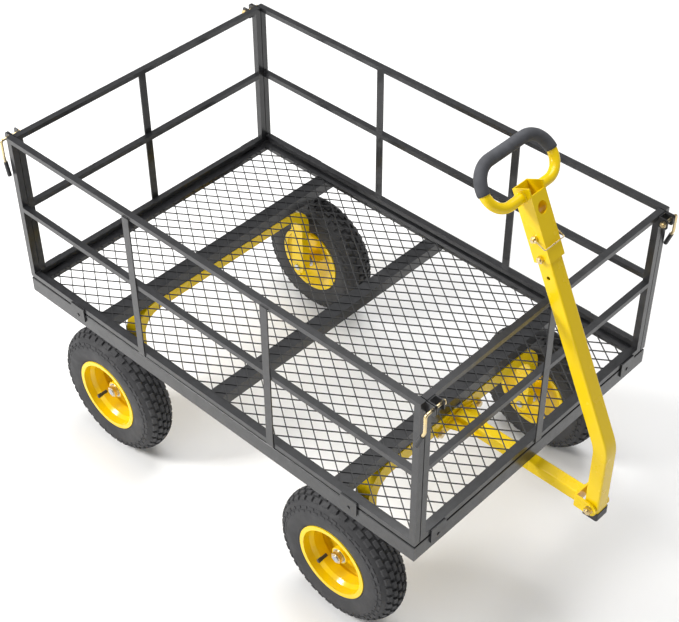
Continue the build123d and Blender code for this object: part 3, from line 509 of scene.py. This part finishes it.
def foam_centreline():
    """Points along the top of the loop, from one waist over the top to the other."""
    waist = LOOP_HEIGHT - LOOP_BEND
    flat = LOOP_HALF_WIDTH - LOOP_BEND
    bend_steps = 18
    flat_steps = 14
    half = []
    for step in range(bend_steps + 1):
        turn = math.pi / 2 * step / bend_steps
        half.append((flat + LOOP_BEND * math.cos(turn), waist + LOOP_BEND * math.sin(turn)))
    for step in range(1, flat_steps + 1):
        half.append((flat * (1 - step / flat_steps), LOOP_HEIGHT))
    whole = half + [(-across, up) for across, up in reversed(half[:-1])]
    sideways = Vector((0.0, 1.0, 0.0))
    return [LOOP_START + sideways * across + LOOP_UP * up for across, up in whole]


def swept_rings(bm, line, radii, sides):
    """Rings of a tube along a line in the loop's plane, one radius per point."""
    normal = LOOP_UP.cross(Vector((0.0, 1.0, 0.0))).normalized()
    rings = []
    for index, (point, radius) in enumerate(zip(line, radii)):
        before = line[max(0, index - 1)]
        after = line[min(len(line) - 1, index + 1)]
        out = (after - before).normalized().cross(normal).normalized()
        ring = []
        for side in range(sides):
            turn = 2 * math.pi * side / sides
            ring.append(bm.verts.new(point + (out * math.cos(turn) + normal * math.sin(turn)) * radius))
        rings.append(ring)
    for first, second in zip(rings, rings[1:]):
        for side in range(sides):
            nxt = (side + 1) % sides
            bm.faces.new((first[side], first[nxt], second[nxt], second[side])).smooth = True
    return rings


def foam_grip():
    """Foam sleeve with soft rounded mouths, drawn tight over the tube."""
    line = foam_centreline()
    along = (line[1] - line[0]).normalized()
    finish_along = (line[-1] - line[-2]).normalized()
    mouth = [(0.0000, LOOP_TUBE + 0.0001), (0.0001, FOAM_RADIUS - 0.0009), (0.0007, FOAM_RADIUS - 0.0002)]
    start = [line[0] + along * step for step, _ in mouth]
    end = [line[-1] - finish_along * step for step, _ in reversed(mouth)]
    body = line[1:-1]
    swell = [FOAM_RADIUS + random.uniform(-0.00008, 0.00012) for _ in body]
    radii = [radius for _, radius in mouth] + swell + [radius for _, radius in reversed(mouth)]
    bm = bmesh.new()
    rings = swept_rings(bm, start + body + end, radii, 40)
    bm.faces.new(list(reversed(rings[0])))
    bm.faces.new(rings[-1])
    bmesh.ops.recalc_face_normals(bm, faces=bm.faces)
    mesh = bpy.data.meshes.new("foam")
    bm.to_mesh(mesh)
    bm.free()
    piece = new_piece("foam_sleeve", mesh, "grip_foam", "handle")
    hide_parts("foam_grip")


# ---------------------------------------------------------------- weld beads
STRAP_HALF = 0.00975
LONG_STRAP_X = 0.200
BED_MIDDLE_X = -0.077
PANEL_FACE_Y = 0.3855
PANEL_FACE_X = 0.5925
POST_WIDTH = 0.0150
STITCH_STARTS = (-0.20, -0.06, 0.08)
STITCH_LENGTH = 0.05
POST_WELD_HEIGHTS = (0.6020, 0.6140, 0.7874, 0.4205)
RAIL_SPANS = ((0.4090, 0.4195), (0.6030, 0.6130), (0.7884, 0.7900))


def ring_points(centre, radius, axis, count=28):
    """Points of a circle about an axis, X or Y."""
    points = []
    for step in range(count + 1):
        turn = 2 * math.pi * step / count
        across = radius * math.cos(turn)
        up = radius * math.sin(turn)
        offset = Vector((0, across, up)) if axis == "X" else Vector((across, 0, up))
        points.append(Vector(centre) + offset)
    return points


def strap_welds():
    """Short beads where each upright strap crosses a rail."""
    for side, name in ((1, "left"), (-1, "right")):
        lines = []
        for strap in (-LONG_STRAP_X, LONG_STRAP_X):
            for edge in (-STRAP_HALF, STRAP_HALF):
                x = BED_MIDDLE_X + strap + edge
                y = side * PANEL_FACE_Y
                lines += [[(x, y, low), (x, y, high)] for low, high in RAIL_SPANS]
        welds(f"strap_welds_{name}", lines, "cart", "charcoal_paint", STRAP_BEAD)
    for end, name in ((1, "front"), (-1, "rear")):
        x = BED_MIDDLE_X + end * PANEL_FACE_X
        lines = []
        for edge in (-STRAP_HALF, STRAP_HALF):
            lines += [[(x, edge, low), (x, edge, high)] for low, high in RAIL_SPANS[:2]]
        welds(f"strap_welds_{name}", lines, "cart", "charcoal_paint", STRAP_BEAD)


def corner_welds():
    """Beads inside the corners of the panels, where the middle rails meet the posts."""
    inner_y = PANEL_FACE_Y - POST_WIDTH
    lines = []
    for side in (1, -1):
        for end in (1, -1):
            x = BED_MIDDLE_X + end * (PANEL_FACE_X - POST_WIDTH)
            for z in POST_WELD_HEIGHTS:
                lines.append([(x, side * inner_y, z), (x, side * (PANEL_FACE_Y - 0.001), z)])
    welds("post_welds", lines, "cart", "charcoal_paint", POST_BEAD)


def running_gear_welds():
    """Beads round the axles' shoulders, at both ends of the drawbar and where the loop meets the head."""
    for corner in CORNERS:
        low_corner, high_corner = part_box(f"hub_bearings_{corner}")
        centre = (low_corner + high_corner) / 2
        yoke = "front_yoke" if corner.startswith("front") else "rear_yoke"
        side = 1 if corner.endswith("left") else -1
        centre.y = side * (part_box(yoke)[1].y + 0.0006)
        body = "steering" if corner.startswith("front") else "cart"
        welds(f"axle_weld_{corner}", [ring_points(centre, 0.0135, "Y")], body, "yellow_paint", HEAVY_BEAD)
    low_corner, high_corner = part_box("drawbar")
    lines = []
    for x in (low_corner.x + 0.0004, high_corner.x - 0.0004):
        square = [
            (x, low_corner.y, low_corner.z),
            (x, high_corner.y, low_corner.z),
            (x, high_corner.y, high_corner.z),
            (x, low_corner.y, high_corner.z),
            (x, low_corner.y, low_corner.z),
        ]
        lines.append(square)
    welds("drawbar_welds", lines, "steering", "yellow_paint", HEAVY_BEAD)
    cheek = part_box("handle_head")[1].y
    rings = []
    for side in (1, -1):
        points = []
        for step in range(25):
            turn = 2 * math.pi * step / 24
            normal = LOOP_UP.cross(Vector((0.0, 1.0, 0.0)))
            spoke = LOOP_UP * math.cos(turn) + normal * math.sin(turn)
            points.append(LOOP_START + Vector((0, side * (cheek + 0.0004), 0)) + spoke * (LOOP_TUBE + 0.0004))
        rings.append(points)
    welds("loop_welds", rings, "handle", "yellow_paint", MEDIUM_BEAD)


def crossbar_welds():
    """Stitch welds between the rear yoke and its crossbar, and between the crossbars and the bed frame."""
    low_corner, high_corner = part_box("rear_yoke")
    lines = []
    for x in (low_corner.x + 0.0030, high_corner.x - 0.0030):
        for start in STITCH_STARTS:
            lines.append([(x, start, high_corner.z), (x, start + STITCH_LENGTH, high_corner.z)])
    welds("yoke_stitches", lines, "cart", "charcoal_paint", HEAVY_BEAD)
    lines = []
    for name in ("crossbar_rear", "crossbar_middle", "crossbar_front"):
        low_corner, high_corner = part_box(name)
        for x in (low_corner.x, high_corner.x):
            for y in (low_corner.y + 0.0003, high_corner.y - 0.0003):
                lines.append([(x, y, low_corner.z + 0.002), (x, y, high_corner.z - 0.002)])
    welds("crossbar_welds", lines, "cart", "charcoal_paint", MEDIUM_BEAD)


# ---------------------------------------------------------------- stage, light and camera
def floor():
    mesh = bpy.data.meshes.new("floor")
    half = FLOOR_HALF
    corners = [(-half, -half, 0), (half, -half, 0), (half, half, 0), (-half, half, 0)]
    mesh.from_pydata(corners, [], [(0, 1, 2, 3)])
    piece = bpy.data.objects.new("floor", mesh)
    bpy.context.scene.collection.objects.link(piece)
    mesh.materials.append(floor_white())


def area_light(name, place, aim, size, power, colour=(1.0, 1.0, 1.0)):
    light = bpy.data.lights.new(name, "AREA")
    light.shape = "SQUARE"
    light.size = size
    light.energy = power
    light.color = colour
    lamp = bpy.data.objects.new(name, light)
    bpy.context.scene.collection.objects.link(lamp)
    lamp.location = place
    lamp.rotation_mode = "QUATERNION"
    lamp.rotation_quaternion = (Vector(place) - Vector(aim)).to_track_quat("Z", "Y")


def lights():
    world = bpy.data.worlds.new("studio")
    bpy.context.scene.world = world
    world.use_nodes = True
    background = world.node_tree.nodes["Background"]
    background.inputs["Color"].default_value = (1.0, 1.0, 1.0, 1.0)
    background.inputs["Strength"].default_value = 0.30
    aim = (0.0, 0.0, 0.45)
    area_light("key", (-2.6, -3.2, 3.4), aim, 1.4, 235.0, (1.0, 0.99, 0.97))
    area_light("fill", (1.2, -4.0, 1.6), aim, 2.6, 26.0, (0.97, 0.98, 1.0))
    area_light("top", (-0.6, 0.9, 4.6), aim, 3.0, 175.0)


def camera():
    data = bpy.data.cameras.new("camera")
    data.lens = CAMERA_LENS
    data.sensor_width = SENSOR_WIDTH
    eye = bpy.data.objects.new("camera", data)
    bpy.context.scene.collection.objects.link(eye)
    azimuth = math.radians(CAMERA_AZIMUTH)
    elevation = math.radians(CAMERA_ELEVATION)
    flat = math.cos(elevation)
    back = Vector((math.sin(azimuth) * flat, -math.cos(azimuth) * flat, math.sin(elevation)))
    level = (-back).to_track_quat("-Z", "Y").to_matrix().to_4x4()
    roll = Matrix.Rotation(math.radians(CAMERA_ROLL), 4, "Z")
    eye.matrix_world = Matrix.Translation(Vector(CAMERA_PLACE)) @ level @ roll
    bpy.context.scene.camera = eye


dress_nodes()
tyres()
foam_grip()
strap_welds()
corner_welds()
running_gear_welds()
crossbar_welds()
floor()
lights()
camera()
bpy.context.scene.view_settings.view_transform = "Standard"
